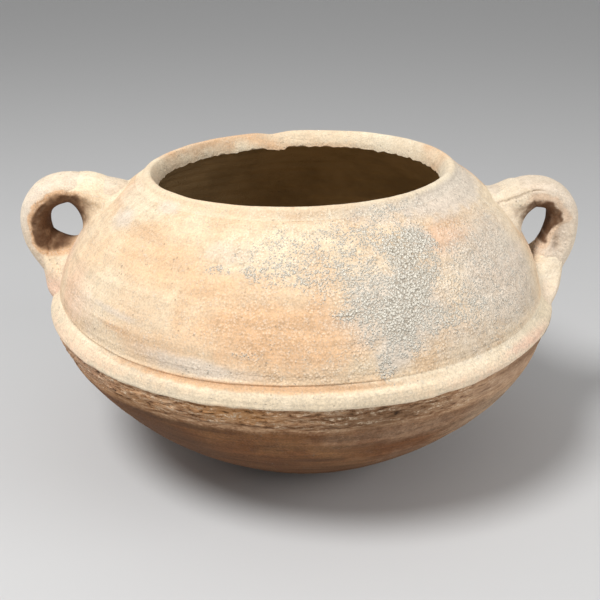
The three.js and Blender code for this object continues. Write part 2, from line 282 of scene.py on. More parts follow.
def wheel_marks(skin):
    """Low turning ridges: noise squeezed along the height and drawn out round the pot."""
    angle = np.radians(skin.azimuth)
    drawn_out = np.stack([np.cos(angle) * 1.3, np.sin(angle) * 1.3, skin.along / 6.5], -1)
    finer = drawn_out * np.array([2.0, 2.0, 3.1])
    strength = 0.6 + 0.4 * lattice_noise(skin.points, 60, 3) + 1.2 * patch(skin, 62, 76, 60, 9)
    strength += 0.8 * patch(skin, -48, 32, 60, 22)
    return strength * (0.30 * lattice_noise(drawn_out, 1, 4) + 0.17 * lattice_noise(finer, 1, 5))


def pit_depths(skin):
    """Round hollows of given places and depths."""
    total = np.zeros(skin.radius.shape)
    draw = np.random.default_rng(pit_seed)
    small = [(draw.uniform(0, 360), draw.uniform(12, 76), draw.uniform(0.8, 1.7),
              draw.uniform(0.3, 0.7)) for _ in range(70)]
    for azimuth, above, radius, depth in pits + small:
        across = np.radians(skin.turned_from(azimuth)) * skin.radius
        reach = np.hypot(across, (skin.above - above) * 1.2) / radius
        total += depth * np.exp(-reach ** 2)
    return total


def relief(skin):
    """How far the worn surface stands out from the plain wall: lumps, turning ridges, lime crust
    and pits."""
    lumps = 0.75 * lattice_noise(skin.points, 70, 1) + 0.22 * lattice_noise(skin.points, 24, 2)
    crust = stain(skin, "lime")
    gritty = np.abs(layered_noise(skin.points, 4.2, 8, 3))
    grain = 0.05 * layered_noise(skin.points, 3.5, 14, 2)
    return lumps + wheel_marks(skin) + crust * (0.25 + 0.75 * gritty) + grain - pit_depths(skin)


def settling(points):
    """How far the pot leans at plain points: the bowl swings towards +X, the shoulder towards -X,
    and the rim is higher on the right."""
    above = points[..., 2] - seam_height
    swing = softened([-93, -60, -30, 0, 45, 78], [1.3, 1.5, 1.2, 0, -1.2, -1.5], above, 6)
    return swing, 0.029 * (points[..., 0] + swing) * ramp(above, 0, 80)


def settled(points):
    swing, tilt = settling(points)
    return points + np.stack([swing, np.zeros_like(swing), tilt], -1)


def unsettled(points):
    """The plain points that settle at the given ones, found by going back and forth."""
    plain = points.copy()
    for _ in range(4):
        plain = plain + points - settled(plain)
    return plain


# Making meshes

def grid_faces(rows, cols, closed):
    """Four-cornered faces of a grid that joins round its columns and, if closed, round its rows."""
    count = rows if closed else rows - 1
    r, c = np.meshgrid(np.arange(count), np.arange(cols), indexing="ij")
    below, above = r * cols, ((r + 1) % rows) * cols
    right = (c + 1) % cols
    faces = np.stack([below + c, below + right, above + right, above + c], -1)
    return faces.reshape(-1, 4).tolist()


def fan_faces(row, cols, pole, flip):
    """Three-cornered faces from one row to a pole."""
    c = np.arange(cols)
    right = (c + 1) % cols
    ends = (right, c) if flip else (c, right)
    faces = np.stack([row * cols + ends[0], row * cols + ends[1], np.full(cols, pole)], -1)
    return faces.tolist()


def placed(name, data):
    """A new object in the scene."""
    made = bpy.data.objects.new(name, data)
    bpy.context.scene.collection.objects.link(made)
    return made


def make_piece(name, points, marks, poles=()):
    """A mesh from a grid of points in millimetres, and values of each vertex for the finish. Poles
    are points that close the first and the last row. Without them the rows close on themselves."""
    rows, cols = points.shape[:2]
    corners = points.reshape(-1, 3)
    faces = grid_faces(rows, cols, not poles)
    for at, pole in enumerate(poles):
        faces += fan_faces((0, rows - 1)[at], cols, len(corners), at == 0)
        corners = np.concatenate([corners, np.array(pole, float)[None]])
    mesh = bpy.data.meshes.new(name)
    mesh.from_pydata((corners * MM).tolist(), [], faces)
    shell = bmesh.new()
    shell.from_mesh(mesh)
    bmesh.ops.recalc_face_normals(shell, faces=shell.faces)
    shell.to_mesh(mesh)
    shell.free()
    for key, values in marks.items():
        at_poles = [values[row].mean() for row in (0, -1)[:len(poles)]]
        flat = np.concatenate([values.reshape(-1), at_poles])
        layer = mesh.attributes.new(key, "FLOAT", "POINT")
        layer.data.foreach_set("value", flat.astype(np.float32))
    mesh.polygons.foreach_set("use_smooth", np.ones(len(mesh.polygons), bool))
    mesh.set_sharp_from_angle(angle=math.radians(62))
    return placed(name, mesh)


# The ridge's line, and the marks that the finishes read

def crest_edge(skin):
    """Height of the pale crest's ragged lower edge: level in front, higher on the right."""
    level = softened([-180, -90, -66, -50, 25, 38, 55, 75, 120, 180],
                     [0.5, 0.5, 0.3, -1.5, -1.4, -0.3, 3.2, 4.4, 1.4, 0.5], skin.away, 4)
    flat = skin.points * np.array([1, 1, 0.2])
    return level + 0.4 * lattice_noise(flat, 55, 20) + 0.45 * layered_noise(flat, 9, 25, 2)


def ridge_top(skin):
    """Height of the ridge's upper end, where its slope runs out on the shoulder."""
    level = softened([-180, -85, -60, -45, -35, -20, -8, 5, 20, 38, 60, 85, 180],
                     [11, 12.5, 11.4, 9.8, 9.0, 8.5, 9.2, 10, 10.2, 11.0, 12.8, 12.8, 11],
                     skin.away, 4)
    return level + 0.3 * skin.ragged[26]


def groove(skin):
    """A thin line cut just over the ridge, clear in front and on the left."""
    clear = 0.12 + 0.88 * ramp(skin.away, -80, -55) * ramp(skin.away, 34, 8)
    return clear * np.exp(-((skin.above - ridge_top(skin)) / 0.5) ** 2)


def flaked_share(skin):
    """Where the underside of the ridge is flaked: strongly in front and on the left."""
    side = 1 - 0.8 * np.maximum(ramp(skin.away, 25, 50), ramp(-skin.away, 65, 90))
    lower = ramp(skin.above + 2.5 * skin.ragged[10], -18, -11)
    return side * lower * ramp(skin.above - crest_edge(skin), 0.4, -0.6)


def finish_marks(skin, inside):
    """Values that the finishes read: where the clay is orange, pink, grey, pale, dark, buff, gritty
    or under lime, and on the ridge where its slope, its rough underside and the bowl's clay are.
    The dark values also hold painted shade in the groove, on the lip's inner face and round the
    bowl's base. The inside has its own even tone."""
    nothing = np.zeros(skin.radius.shape)
    if inside:
        blank = (*mark_places, "flaked", "underside", "bowl_ground", "shoulder_ground")
        return {key: nothing for key in blank} | {"inside": nothing + inside}
    marks = {key: stain(skin, key) for key in mark_places}
    crest = ramp(skin.above - crest_edge(skin), -0.5, 0.4) * ramp(skin.above, 8.5, 6.5)
    for key in ("dark", "buff", "grey"):
        marks[key] = marks[key] * (1 - crest)
    # Painted shade in the groove over the ridge, and on the lip's inner face on the left.
    marks["dark"] = np.maximum(marks["dark"], 0.42 * groove(skin))
    near_lip = ramp(skin.above, 60, 76)
    lip_shade = ramp(skin.radius, 87.5, 85.5) * near_lip * ramp(np.abs(skin.away + 95), 75, 40)
    marks["dark"] = np.maximum(marks["dark"], 0.36 * lip_shade)
    for key, loss in (("rough", 0.7), ("lime", 0.8), ("grey", 0.6)):
        marks[key] = marks[key] * (1 - loss * ramp(skin.radius, 92, 89) * near_lip)
    crest_rough = 0.45 + 0.4 * ramp(-skin.away, 10, 40) + 0.4 * ramp(skin.away, 20, 50)
    off_ridge = ramp(np.abs(skin.above - 1), 8, 12)
    marks["rough"] = marks["rough"] * (crest_rough * (1 - off_ridge) + off_ridge)
    marks["rough"] = np.maximum(marks["rough"], 0.6 * ramp(-skin.above, 14, 22))
    low = ramp(skin.above + 2.5 * skin.ragged[10], -22, -12)
    edge_softness = 0.5 + 3.0 * ramp(skin.away, 25, 55)
    return marks | {
        "inside": nothing, "flaked": flaked_share(skin),
        "underside": low * ramp(skin.above - crest_edge(skin), 0.4, -edge_softness),
        "bowl_ground": ramp(skin.above, -3, -8),
        "shoulder_ground": ramp(skin.above - ridge_top(skin), -0.5, 0.9)}


def rows_between(low, high, spacing):
    count = max(int(abs(high - low) / spacing), 2)
    return np.linspace(low, high, count + 1)


# Pieces of the body

def ridge_stand(skin):
    """How far the ridge stands out from the wall, by height: a rounded slope, the pale crest and
    a sharp drop to its rough underside, which is soft and worn on the right. The drop follows the
    crest's lower edge, and the ridge is thickest beside the right handle."""
    x = skin.above - ramp(skin.above, 5, 0) * (crest_edge(skin) + 1.4)
    places = [-14, -12, -9, -5, -2.4, -1.4, -0.2, 2.6, 5.2, 7.6, 9.4, 11, 12]
    sharp = [0.0, 0.35, 1.1, 2.0, 2.6, 3.6, 4.5, 4.7, 4.1, 2.5, 1.0, 0.2, 0.0]
    worn = [0.0, 0.5, 1.7, 3.2, 4.0, 4.3, 4.5, 4.4, 3.8, 2.4, 1.1, 0.3, 0.0]
    soft = ramp(skin.azimuth, 48, 75) * ramp(skin.azimuth, 300, 260)
    stand = softened(places, sharp, x, 0.55) * (1 - soft) + softened(places, worn, x, 0.9) * soft
    thick_part = ramp(skin.away, 52, 70) * ramp(skin.away, 108, 92)
    return stand + 1.3 * thick_part * np.exp(-((skin.above - 5) / 4.5) ** 2)


def flakes(skin):
    """Broken layers under the ridge's crest: thin shelves that run round the pot, and crumbs."""
    angle = np.radians(skin.azimuth)
    shelf = np.stack([np.cos(angle) * 9, np.sin(angle) * 9, skin.above / 1.7], -1)
    crumbs = np.abs(layered_noise(skin.points, 3.0, 22, 3))
    return flaked_share(skin) * (0.8 * lattice_noise(shelf, 1, 21) + 1.5 * crumbs - 0.6)


def fullness(skin):
    """How much fuller the bowl is under the ridge than its plain line."""
    return softened([-50, -34, -20, -10, -3, 0], [0.0, 0.4, 1.3, 1.5, 0.4, 0.0], skin.above, 4)


def outer_stand(skin):
    return relief(skin) + fullness(skin) + ridge_stand(skin) + flakes(skin) - groove(skin)


def standing_out(skin, stand):
    """Grid, radius and height of a skin whose points stand out from the wall."""
    lean_r, lean_z = wall_slope(skin.along)
    return skin, skin.radius + stand * lean_z, skin.height - stand * lean_r


def outer_skin(along):
    """The worn outer surface along part of the wall."""
    skin = Skin(*on_wall(along), along)
    return standing_out(skin, outer_stand(skin))


def inner_skin(along, depth):
    """The inside of the wall, with the finger ridges that throwing leaves."""
    skin = Skin(*on_wall(along, depth), along)
    angle = np.radians(skin.azimuth)
    spiral = np.sin(skin.along / 11 * 2 * np.pi + angle)
    inwards = (spiral * (0.5 + 0.3 * lattice_noise(skin.points, 40, 31))
               + 0.5 * lattice_noise(skin.points, 30, 32))
    return standing_out(skin, -inwards)


def smooth_part(radius, height, along, inside):
    """A part of a section that is left smooth."""
    skin = Skin(radius, height, along)
    return skin, skin.radius, skin.height, inside


def joined(*parts):
    """Stacks parts of a section into one grid of points and one set of finish marks."""
    places = [skin.place(radius, height) for skin, radius, height, _ in parts]
    sets = [finish_marks(skin, inside) for skin, _, _, inside in parts]
    marks = {key: np.concatenate([one[key] for one in sets]) for key in sets[0]}
    return settled(np.concatenate(places)), marks


def lower_bowl():
    """The bowl: flat base, outer wall up to the ridge, inner wall down to the floor's middle."""
    outer_along = rows_between(bowl_start, ridge_foot, skin_row * 1.25)
    inner_along = rows_between(-1.0, bowl_start, inner_row)
    nearness = (inner_along / bowl_start) ** 2
    depth = wall_thickness + (floor_thickness - wall_thickness) * nearness
    outer = outer_skin(outer_along)
    flat = ramp(outer[0].height, 0.2, 4.0)
    height = np.maximum(outer[2] * flat, outer[0].height * (1 - flat))
    base = np.array([8.0, 24.0, 38.0])
    floor = np.array([30.0, 12.0])
    points, marks = joined(
        smooth_part(base, 0 * base, bowl_start + 0 * base, 0.0),
        (outer[0], outer[1], height, 0.0), (*inner_skin(inner_along, depth), 1.0),
        smooth_part(floor, floor_thickness + 0 * floor, bowl_start + 0 * floor, 1.0))
    points[:len(base), :, 2] = 0
    return make_piece("bowl_wall", points, marks, [(0, 0, 0), (0, 0, floor_thickness)])


def ring_piece(name, parts):
    return make_piece(name, *joined(*parts))


def ridge():
    """The ridge: its shaped face outside and a plain back inside the wall."""
    outer = outer_skin(rows_between(ridge_foot, ridge_head, fine_row))
    ends = np.array([ridge_head, ridge_foot])
    back = smooth_part(*on_wall(ends, 3.5), ends, 0.0)
    return ring_piece("ridge_coil", [(*outer, 0.0), back])


def shoulder():
    """The shoulder between the ridge and the lip, with its inner wall."""
    outer = outer_skin(rows_between(ridge_head, lip_foot, skin_row))
    inner = inner_skin(rows_between(shoulder_length - 1.5, -1.0, inner_row), wall_thickness)
    return ring_piece("shoulder_wall_skin", [(*outer, 0.0), (*inner, 1.0)])


def lip():
    """The lip: over the shoulder's end, round the crest, down the upright inner face to a torn
    lower edge, and back into the wall."""
    top = shoulder_end[1]
    foot = on_wall(lip_foot)
    section = np.array([
        foot, on_wall(shoulder_length), (90.0, top + 2.2), (88.2, top + 3.1), (86.4, top + 2.6),
        (84.8, top + 1.0), (83.4, top - 1.5), (82.4, top - 4.0), (82.1, top - 6.6)])
    steps = np.concatenate([[0], np.cumsum(np.hypot(*np.diff(section, axis=0).T))])
    fine = np.arange(0, steps[-1], fine_row)
    radius = softened(steps, section[:, 0], fine, 1.1)
    height = softened(steps, section[:, 1], fine, 1.1)
    radius[0], height[0] = foot
    skin = Skin(radius, height, lip_foot + fine)
    across_r = np.gradient(radius, fine)[:, None]
    across_z = np.gradient(height, fine)[:, None]
    lower = ramp(fine, steps[-1] - 6, steps[-1])[:, None]
    torn = 0.5 * lattice_noise(skin.points, 9, 51) + layered_noise(skin.points, 3.4, 52, 2)
    stand = (relief(skin) * ramp(fine, 14, 0)[:, None] + 0.3 * lattice_noise(skin.points, 14, 53)
             + 0.10 * layered_noise(skin.points, 2.6, 54, 2) + 0.5 * lower * np.abs(torn))
    new_radius = skin.radius + stand * across_z
    new_height = skin.height - stand * across_r - lower * (0.4 + 1.1 * torn)
    dent = np.exp(-(skin.turned_from(192) / 5.0) ** 2)
    new_height -= 1.6 * dent * ramp(fine, 2, 8)[:, None]
    new_radius += dent * ramp(fine, 8, 14)[:, None]
    underside = np.array([84.0, 90.5]), np.array([top - 7.6, top - 7.0]), [shoulder_length] * 2
    return ring_piece("lip_coil", [
        (skin, new_radius, new_height, 0.0), smooth_part(*underside, 1.0),
        smooth_part(*on_wall(np.array([lip_foot]), 4.0), [lip_foot], 1.0)])


def seam_roll():
    """The roll of clay pressed over the joint inside: a low swelling with finger dabs."""
    along = rows_between(14, -12, 1.3)
    swell = 5.0 * np.cos(np.linspace(-1, 1, len(along)) * np.pi / 2) ** 0.8
    skin = Skin(*on_wall(along, wall_thickness), along)
    dabs = 1 + 0.16 * np.sin(np.radians(skin.azimuth) * 34)
    dabs += 0.2 * lattice_noise(skin.points, 12, 61)
    face = skin.radius - swell[:, None] * dabs + 0.4
    ends = along[[-1, 0]]
    back = smooth_part(*on_wall(ends, wall_thickness - 2.5), ends, 1.0)
    return ring_piece("inner_seam_roll", [(skin, face, skin.height, 1.0), back])


# Handles

def through(points, count):
    """A smooth curve through all the given points: each stretch is a cubic that leaves and
    arrives in the direction from one neighbour to the next."""
    p = np.array(points, float)
    p = np.concatenate([2 * p[:1] - p[1:2], p, 2 * p[-1:] - p[-2:-1]])
    t = np.linspace(0, len(p) - 3, count)
    i = np.minimum(t.astype(int), len(p) - 4)
    f = (t - i)[:, None]
    a, b, c, d = p[i], p[i + 1], p[i + 2], p[i + 3]
    bend = (2 * a - 5 * b + 4 * c - d) * f ** 2 + (3 * b - a - 3 * c + d) * f ** 3
    return 0.5 * (2 * b + (c - a) * f + bend)


def unit(vectors):
    return vectors / np.linalg.norm(vectors, axis=-1, keepdims=True)


class BodyFace:
    """The worn outside of the body with its lean, as the handles are seated on it."""

    def __init__(self):
        self.first = -60.0      # along the wall, lower than the handles' feet reach
        along = np.arange(self.first, shoulder_length - 2, 1.0)
        self.stand = outer_stand(Skin(*on_wall(along), along))

    def nearest(self, points):
        """Radius, height, azimuth, and nearest distance along the wall, of settled points."""
        plain = unsettled(points)
        radius = np.hypot(plain[..., 0], plain[..., 1])
        azimuth = np.degrees(np.arctan2(plain[..., 0], -plain[..., 1])) % 360
        along = np.interp(plain[..., 2], wall_height, wall_along)
        for _ in range(3):
            wall_r, wall_z = on_wall(along)
            lean_r, lean_z = wall_slope(along)
            along = along + (radius - wall_r) * lean_r + (plain[..., 2] - wall_z) * lean_z
        return radius, plain[..., 2], azimuth, along

    def outside(self, points):
        """How far points are from the worn face, outwards positive."""
        radius, height, azimuth, along = self.nearest(points)
        wall_r, wall_z = on_wall(along)
        lean_r, lean_z = wall_slope(along)
        gap = (radius - wall_r) * lean_z - (height - wall_z) * lean_r
        row = np.clip(along - self.first, 0, len(self.stand) - 1.001)
        low = row.astype(int)
        part = row - low
        column = azimuth / 360 * columns
        left = column.astype(int)
        share = column - left
        left, right = left % columns, (left + 1) % columns
        below = self.stand[low, left] * (1 - share) + self.stand[low, right] * share
        above = self.stand[low + 1, left] * (1 - share) + self.stand[low + 1, right] * share
        return gap - below * (1 - part) - above * part

    def facing(self, points):
        """The direction in which the body's face looks at the place nearest to each point."""
        _, _, azimuth, along = self.nearest(points)
        angle = np.radians(azimuth)
        lean_r, lean_z = wall_slope(along)
        return unit(np.stack([lean_z * np.sin(angle), -lean_z * np.cos(angle), -lean_r], -1))

    def lay_on(self, points, depth):
        """Points moved straight to a depth under the face."""
        for _ in range(4):
            points = points - self.facing(points) * (self.outside(points) + depth)[..., None]
        return points

    def reach(self, points, heading, depth):
        """Where lines from points, all in one heading, come to a depth under the face."""
        near, far = np.zeros(points.shape[:-1]), np.full(points.shape[:-1], 60.0)
        for _ in range(20):
            middle = (near + far) / 2
            in_air = self.outside(points + heading * middle[..., None]) > -depth
            near, far = np.where(in_air, middle, near), np.where(in_air, far, middle)
        return points + heading * near[..., None]


class Strap:
    """A handle's strap. Its path lies in the upright plane through the pot's axis and is given by
    places of radius, height over the widest line, half thickness and half width. side is 1 for
    the right handle and -1 for the left. Angle 0 of a section faces away from the finger hole and
    a quarter turn faces the front."""

    def __init__(self, side, squareness, places):
        self.side = side
        self.squareness = squareness
        self.line = through(places, 900)
        steps = np.hypot(*np.diff(self.line[:, :2], axis=0).T)
        self.travelled = np.concatenate([[0], np.cumsum(steps)])
        self.slopes = np.gradient(self.line[:, :2], self.travelled, axis=0)
        self.length = self.travelled[-1]

    def at(self, along):
        """Middle and heading of the path at distances along it."""
        radius, height = (np.interp(along, self.travelled, self.line[:, k]) for k in (0, 1))
        out, up = (np.interp(along, self.travelled, self.slopes[:, k]) for k in (0, 1))
        level = np.zeros_like(radius)
        middle = np.stack([self.side * radius, level, height + seam_height], -1)
        return middle, unit(np.stack([self.side * out, level, up], -1))

    def surface(self, along, angle, proud=0.0):
        """Points on the strap's face. Its section is an oval squared off a little: each half size
        times the cosine or sine of the angle raised to a power under one."""
        along, angle = np.broadcast_arrays(along, angle)
        middle, heading = self.at(along)
        thick, wide = (np.interp(along, self.travelled, self.line[:, k]) for k in (2, 3))
        away = np.stack([-heading[..., 2] * self.side, 0 * thick, heading[..., 0] * self.side], -1)
        cosine, sine = np.cos(angle), np.sin(angle)
        power = 2 / self.squareness
        out = np.sign(cosine) * np.abs(cosine) ** power * (thick + proud)
        front = -np.sign(sine) * np.abs(sine) ** power * (wide + proud)
        points = middle + away * out[..., None]
        points[..., 1] += front
        return points


round_strap = np.linspace(0, 2 * np.pi, strap_columns, endpoint=False)


def push_out(points, amount):
    """Moves each point of a tube-like grid along its own outward normal."""
    down = np.gradient(points, axis=0)
    across = np.roll(points, -1, 1) - np.roll(points, 1, 1)
    normal = unit(np.cross(down, across) + 1e-12)
    outward = points - points.mean(axis=1, keepdims=True)
    normal *= np.sign((normal * outward).sum(-1).mean()) or 1.0
    return points + normal * amount[..., None]


def worn_clay(points):
    """Uneven hand-pressed clay: broad dents, small lumps and grit."""
    return (0.8 * lattice_noise(points, 26, 71) + 0.35 * lattice_noise(points, 9, 72)
            + 0.12 * layered_noise(points, 3.2, 73, 2))


def scraped_edge(points, angle, share):
    """Torn clay along the front edge of the finger hole, in short strokes across the edge."""
    place = np.exp(-((angle - 1.95) / 0.42) ** 2)
    strokes = lattice_noise(points * np.array([1, 0.35, 1]), 2.6, 74)
    return share * place * np.clip(0.55 + 0.5 * lattice_noise(points, 8, 75) + 0.6 * strokes, 0, 1)


def dried_crack(points, angle):
    """A crack that runs from the body out along the front of the right handle's arm."""
    out = points[..., 0]
    line = 1.22 + 0.2 * ramp(out, 140, 118) + 0.2 * layered_noise(points, 8, 79, 3)
    shown = ramp(out, 146, 134) * ramp(points[..., 2], 140, 150)
    return np.exp(-((angle - line) / 0.075) ** 2) * shown


def handle_marks(points, angle, side, share):
    """Values for the finishes. share says how much of the strap's own shading applies, from 0 at
    the body to 1 on the free strap."""
    above = points[..., 2] - seam_height
    arm = ramp(above, 44, 54)
    early = 0.25 if side < 0 else 0.32 * arm * ramp(points[..., 0], 122, 134) - 0.5 * (1 - arm)
    cosine = np.cos(angle + early * np.sign(np.pi - angle))
    hole = ramp(-cosine + 0.3 * layered_noise(points, 5, 78, 2), -0.1, 0.7) * share
    hole = hole * (ramp(above, 27, 36) if side < 0 else ramp(above, 31, 39))
    near_body = ramp(points[..., 0] * side, 136, 120)
    strokes = lattice_noise(points * np.array([1, 0.3, 1]), 2.2, 80)
    start, full = (0.22, 0.9) if side < 0 else (0.45, 1.0)
    # The side facing the finger hole is brown clay, darkened further as painted shade.
    shade = ramp(hole, start, full) * (1 - 0.6 * near_body) * np.clip(0.96 + 0.3 * strokes, 0, 1)
    torn = scraped_edge(points, angle, share) * ramp(above, 26, 36)
    # The crack is darkened along its line as painted shade.
    crack = dried_crack(points, angle) if side > 0 else 0
    cloud = layered_noise(points, 22, 76)
    tan = (1 - 0.7 * near_body) * (1.0 if side < 0 else 0.6)
    foot = ramp(above, 30, 8)
    nothing = np.zeros(points.shape[:-1])
    return {
        "lime": 0.28 * ramp(cloud, 0.1, 0.6) * (1 - hole),
        "grey": nothing + (0.45 if side > 0 else 0.15),
        "orange": np.maximum(0.25 * ramp(-cloud, 0.0, 0.5), tan * ramp(hole, 0.0, 0.3)),
        "pink": foot * (0.3 if side > 0 else 0.85),
        "pale": 0.4 * ramp(cosine, 0.1, 0.9) * (1 - foot),
        "dark": np.maximum.reduce([shade, 0.6 * torn, nothing + 0.45 * crack]),
        "buff": 0.4 * torn, "rough": nothing + 0.4, "inside": nothing}


def strap_piece(name, strap, body, upper_heading, lower_heading):
    """The strap as one closed skin. Both ends run straight on until they are under the body's
    face."""
    along = np.arange(root_depth, strap.length - foot_depth, strap_row)[:, None]
    angle = round_strap[None, :]
    free = strap.surface(along, angle)
    ends = [body.reach(free[0], upper_heading, strap_sunk),
            body.reach(free[-1], lower_heading, strap_sunk)]
    share = np.linspace(0, 1, 18)[:-1, None, None]
    upper = ends[0] * (1 - share) + free[0] * share
    lower = ends[1] * (1 - share[::-1]) + free[-1] * share[::-1]
    points = np.concatenate([upper, free, lower])
    everywhere = np.broadcast_to(angle, points.shape[:2])
    fade = np.concatenate([share[:, :, 0], np.ones_like(along), share[::-1, :, 0]])
    torn = scraped_edge(points, everywhere, fade)
    grit = np.abs(layered_noise(points, 3.4, 77, 3))
    stand = worn_clay(points) * fade - torn * (0.2 + 1.9 * grit)
    if strap.side > 0:
        stand = stand - 0.9 * dried_crack(points, everywhere)
    points = push_out(points, stand)
    marks = handle_marks(points, everywhere, strap.side, fade)
    return make_piece(name, points, marks, [end.mean(0) for end in ends])


def luting_piece(name, strap, body, base_along, heading, cover, spread, swell):
    """Clay smeared round a root: it leaves the strap, sweeps out and lies down on the body. cover
    is how far it goes up the strap, spread how far over the body and swell how much it bulges
    there, each on the hole's side, on the flanks and on the outer side. Under the face it closes
    through the root."""
    angle = round_strap[None, :]
    cosine = np.cos(angle)
    round_root = np.stack([cosine * 2.2, np.sin(angle) * 2.2, 0 * angle + strap.side], -1)
    uneven = 1 + 0.3 * lattice_noise(round_root, 1, 81)
    upwards = np.sign(strap.length / 2 - base_along)

    def by_side(values):
        return np.interp(cosine, [-1, 0, 1], values)

    start_along = base_along + upwards * by_side(cover) * uneven
    start = strap.surface(start_along, angle, -0.4)[0]
    mouth = strap.surface(start_along - upwards * 2.5, angle, 0.5)[0]
    base = strap.surface(np.full_like(cosine, base_along), angle)[0]
    root = body.reach(base, heading, 0.0)
    centre = root.mean(0)
    away = unit(root - centre)
    foot = body.lay_on(root + away * (by_side(spread) * uneven).T, 0.35)
    facing = body.facing(foot)
    along_body = unit(away - facing * (away * facing).sum(-1, keepdims=True))
    run = np.linalg.norm(foot - mouth, axis=-1, keepdims=True)
    pull = by_side([0.30, 0.42, 0.34]).T
    leaving = mouth + unit(mouth - start) * run * pull
    arriving = foot - along_body * run * pull + facing * by_side(swell).T
    sweep = bezier(mouth, leaving, arriving, foot, 30)
    rise = np.linspace(0, 1, 4)[:-1, None, None]
    under = [body.lay_on(foot, 1.6), body.lay_on(root, 3.2),
             body.lay_on(root * 0.6 + centre * 0.4, 3.4),
             strap.surface(start_along, angle, -3.0)[0] * 0.5 + centre * 0.5]
    skin = np.concatenate([start + (mouth - start) * rise, sweep])
    fade = np.sin(np.linspace(0, np.pi, len(skin))) ** 0.5
    cracked = dried_crack(skin, angle) if strap.side > 0 and upwards > 0 else 0
    skin = push_out(skin, (0.6 * worn_clay(skin) - 0.9 * cracked) * fade[:, None])
    points = np.concatenate([skin, np.stack(under)])
    everywhere = np.broadcast_to(angle, points.shape[:2])
    free = 1 - np.linspace(0, 1, len(points))[:, None] ** 2.5 * np.ones_like(everywhere)
    return make_piece(name, points, handle_marks(points, everywhere, strap.side, free))


left_strap = Strap(-1, 2.1, [
    (112, 63.0, 9.4, 14.0), (124, 66.2, 9.0, 13.8), (136.5, 68.2, 8.9, 13.5),
    (148.6, 64.9, 8.6, 13.4), (156.4, 56.5, 8.2, 13.4), (158.4, 46, 8.0, 13.4),
    (156.2, 36, 8.2, 13.5), (150.8, 26, 7.8, 13.8), (146.8, 17, 6.4, 14.2), (145.4, 8, 6.0, 15)])
right_strap = Strap(1, 3.0, [
    (112, 59.8, 8.0, 14.0), (124, 62.8, 7.9, 13.7), (136, 66.4, 8.2, 13.5),
    (147.6, 64.2, 8.2, 13.4), (154.2, 56.6, 8.5, 13.4), (155.3, 47, 8.7, 13.4),
    (153.4, 36, 9.4, 13.4), (149.6, 27, 9.4, 13.6), (147.4, 18, 8.1, 14.4), (147.2, 9, 8.0, 15.4)])

# Along a strap's path from its ends to where its roots start, and how far it goes into the body
root_depth = 12.0
foot_depth = 11.0
strap_sunk = 4.0


# Finishes

class Wire:
    """A value that runs between nodes. Arithmetic with it adds math nodes."""

    def __init__(self, tree, socket):
        self.tree = tree
        self.socket = socket

    def math(self, operation, first, second, clamp=False):
        return add(self.tree, "ShaderNodeMath", {0: first, 1: second}, operation=operation,
                   use_clamp=clamp)

    def __add__(self, other):
        return self.math("ADD", self, other)

    def __sub__(self, other):
        return self.math("SUBTRACT", self, other)

    def __rsub__(self, other):
        return self.math("SUBTRACT", other, self)

    def __mul__(self, other):
        return self.math("MULTIPLY", self, other)

    def between(self, low, high, to_low=0.0, to_high=1.0):
        """to_low at low, to_high at high and a smooth rise between."""
        return add(self.tree, "ShaderNodeMapRange", {
            "Value": self, "From Min": low, "From Max": high, "To Min": to_low, "To Max": to_high},
            interpolation_type="SMOOTHSTEP")


def plug(tree, socket, value):
    """Links a socket to a wire, or sets its value."""
    if isinstance(value, Wire):
        tree.links.new(value.socket, socket)
    else:
        socket.default_value = value


def add(tree, kind, inputs, output=0, **settings):
    """Adds a node with its settings and inputs and returns the wire from one output. Inputs and
    the output are given by name or number."""
    made = tree.nodes.new(kind)
    for key, value in settings.items():
        setattr(made, key, value)
    for key, value in inputs.items():
        plug(tree, made.inputs[key], value)
    return Wire(tree, made.outputs[output])


def noise(vector, per_metre, detail=3.0, rough=0.55, distortion=0.0):
    return add(vector.tree, "ShaderNodeTexNoise", {
        "Vector": vector, "Scale": per_metre, "Detail": detail, "Roughness": rough,
        "Distortion": distortion}, "Fac")


def cell_distance(vector, per_metre):
    return add(vector.tree, "ShaderNodeTexVoronoi", {
        "Vector": vector, "Scale": per_metre}, "Distance")


def grain_distance(vector, per_metre, bend=0.5):
    """Distance from the middle of the nearest grain, with uneven borders between the grains."""
    wave = add(vector.tree, "ShaderNodeTexNoise", {
        "Vector": vector, "Scale": per_metre * 1.3, "Detail": 2.0}, "Color")
    moved = add(vector.tree, "ShaderNodeVectorMath", {
        0: wave, 1: (bend / per_metre,) * 3, 2: vector}, operation="MULTIPLY_ADD")
    return cell_distance(moved, per_metre)


def drawn_round(vector, share):
    """A vector in which noise is drawn out round the pot."""
    return add(vector.tree, "ShaderNodeMapping", {"Vector": vector, "Scale": (share, share, 1)})


def mix(share, first, second):
    """Two colours mixed by a share: 6 and 7 are the node's colour inputs, 2 its colour output."""
    return add(share.tree, "ShaderNodeMix", {
        "Factor": share, 6: first, 7: second}, 2, data_type="RGBA")


def node_group(name, inputs, fill):
    """A node group with named sockets. fill gets the wires that come in and returns those that
    go out, by name."""
    tree = bpy.data.node_groups.new(name, "ShaderNodeTree")
    for label in inputs:
        kind = "NodeSocketVector" if label == "Vector" else "NodeSocketFloat"
        tree.interface.new_socket(label, in_out="INPUT", socket_type=kind)
    coming = tree.nodes.new("NodeGroupInput").outputs
    wires = fill(*[Wire(tree, coming[label]) for label in inputs])
    for label in wires:
        tree.interface.new_socket(label, in_out="OUTPUT", socket_type="NodeSocketFloat")
    going = tree.nodes.new("NodeGroupOutput").inputs
    for label, wire in wires.items():
        plug(tree, going[label], wire)
    return tree


def placed_group(tree, made, inputs):
    """Puts a node group into a tree and returns its wires by name."""
    node = tree.nodes.new("ShaderNodeGroup")
    node.node_tree = made
    for key, value in inputs.items():
        plug(tree, node.inputs[key], value)
    return {socket.name: Wire(tree, socket) for socket in node.outputs}


